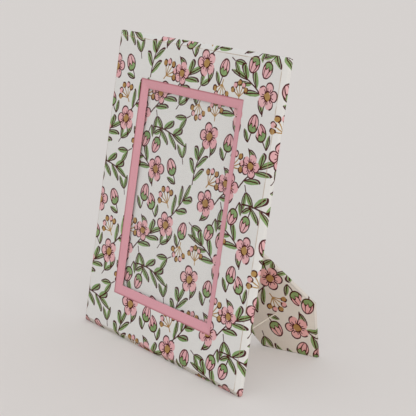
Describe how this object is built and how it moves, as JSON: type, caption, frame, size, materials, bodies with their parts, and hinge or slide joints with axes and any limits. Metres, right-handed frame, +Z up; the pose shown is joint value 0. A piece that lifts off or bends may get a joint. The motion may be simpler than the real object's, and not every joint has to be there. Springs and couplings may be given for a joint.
{
  "type": "fabric picture frame",
  "caption": "Free-standing picture frame covered in printed cotton, with a sloping pink window binding, clear glazing, a lift-out back panel and a folding easel leg on a stay cord.",
  "frame": {"origin": "middle of the narrow flat on the frame's lower back edge, which rests on the table", "axes": "+Z up, +X to the right seen from the front, +Y to the back; the frame leans back towards +Y"},
  "size_m": [0.172, 0.0868, 0.2097],
  "materials": {
    "printed_cotton": "plain-weave cotton with a printed flower pattern",
    "pink_cotton": "plain pink cotton",
    "grey_board": "raw grey board",
    "clear_sheet": "clear, polished",
    "printed_card": "matte printed card",
    "cord_yarn": "twisted cotton cord",
    "brass_plate": "satin brass-plated sheet"
  },
  "bodies": {
    "frame": {"front_cover": "printed_cotton", "front_board": "grey_board", "window_binding": "pink_cotton", "rail_top": "grey_board", "rail_bottom": "grey_board", "rail_left": "grey_board", "rail_right": "grey_board", "glazing": "clear_sheet", "insert_card": "printed_card", "back_board": "grey_board", "back_cover": "printed_cotton", "leg_root": "grey_board", "hinge_cloth": "printed_cotton", "stay_cord": "cord_yarn", "turn_button_pin_1": "brass_plate", "turn_button_pin_2": "brass_plate", "turn_button_pin_3": "brass_plate", "turn_button_pin_4": "brass_plate"},
    "leg": {"leg_board": "grey_board", "leg_cover": "printed_cotton", "stay_knot": "cord_yarn"},
    "turn_button_1": {"turn_button_1": "brass_plate"},
    "turn_button_2": {"turn_button_2": "brass_plate"},
    "turn_button_3": {"turn_button_3": "brass_plate"},
    "turn_button_4": {"turn_button_4": "brass_plate"}
  },
  "joints": [
    {"name": "leg_fold", "type": "hinge", "parent": "frame", "child": "leg", "pos_m": [-0.02462, 0.02588, 0.10871], "axis": [0.7071, 0.1276, 0.6955], "range_deg": [-29.1, 0], "deforming": ["stay_cord"]},
    {"name": "turn_button_1_swivel", "type": "hinge", "parent": "frame", "child": "turn_button_1", "pos_m": [-0.07, 0.00534, 0.05278], "axis": [0, 0.9836, -0.1805], "range_deg": [-180, 180]},
    {"name": "turn_button_2_swivel", "type": "hinge", "parent": "frame", "child": "turn_button_2", "pos_m": [-0.07, 0.02466, 0.15802], "axis": [0, 0.9836, -0.1805], "range_deg": [-180, 180]},
    {"name": "turn_button_3_swivel", "type": "hinge", "parent": "frame", "child": "turn_button_3", "pos_m": [0.07, 0.01347, 0.09704], "axis": [0, 0.9836, -0.1805], "range_deg": [-180, 180]},
    {"name": "turn_button_4_swivel", "type": "hinge", "parent": "frame", "child": "turn_button_4", "pos_m": [0.07, 0.02466, 0.15802], "axis": [0, 0.9836, -0.1805], "range_deg": [-180, 180]}
  ]
}
